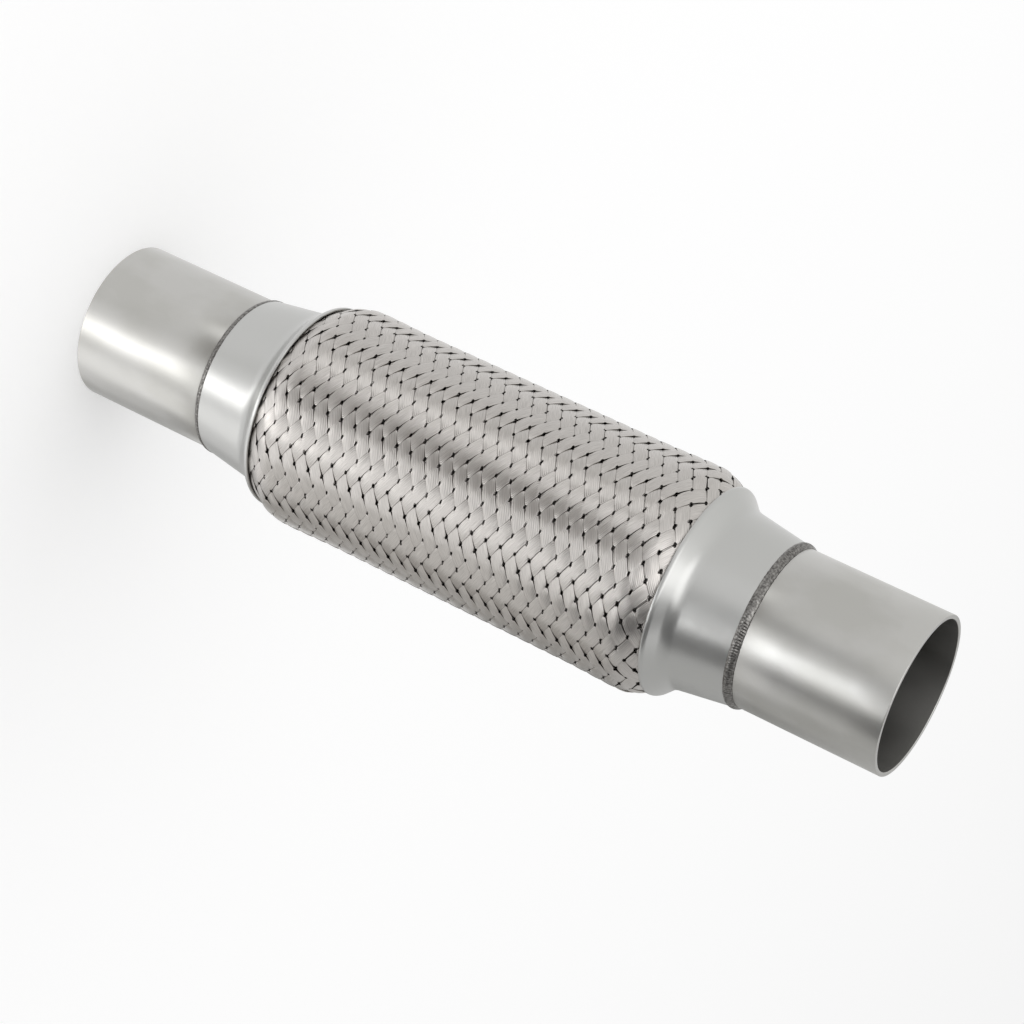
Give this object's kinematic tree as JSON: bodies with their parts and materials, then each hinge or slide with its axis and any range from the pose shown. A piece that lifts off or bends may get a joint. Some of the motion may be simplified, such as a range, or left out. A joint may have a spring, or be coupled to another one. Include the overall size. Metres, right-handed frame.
{
  "type": "exhaust flex pipe",
  "caption": "Straight flexible exhaust pipe: a woven wire sleeve over a bellows, a stamped collar at each end and a plain tube welded to each collar.",
  "frame": {"origin": "centre of the inlet mouth, the end the pipe stands on", "axes": "+Z along the bore from the inlet mouth to the outlet mouth"},
  "size_m": [0.0772, 0.0772, 0.3048],
  "materials": {
    "tube_steel": "satin drawn stainless tube",
    "weld_metal": "heat-tinted rippled seam weld",
    "cap_steel": "satin stamped stainless sheet",
    "braid_wire": "woven strips of fine stainless wire",
    "bellows_foil": "thin formed stainless sheet",
    "sleeve_wire": "dull knitted stainless wire",
    "ring_steel": "plain rolled stainless sheet"
  },
  "bodies": {
    "root": {"inlet_tube": "tube_steel", "outlet_tube": "tube_steel", "inlet_weld": "weld_metal", "outlet_weld": "weld_metal", "inlet_end_cap": "cap_steel", "outlet_end_cap": "cap_steel", "outer_braid": "braid_wire", "bellows": "bellows_foil", "inner_braid": "sleeve_wire", "inlet_inner_ring": "ring_steel", "outlet_inner_ring": "ring_steel"}
  },
  "joints": []
}
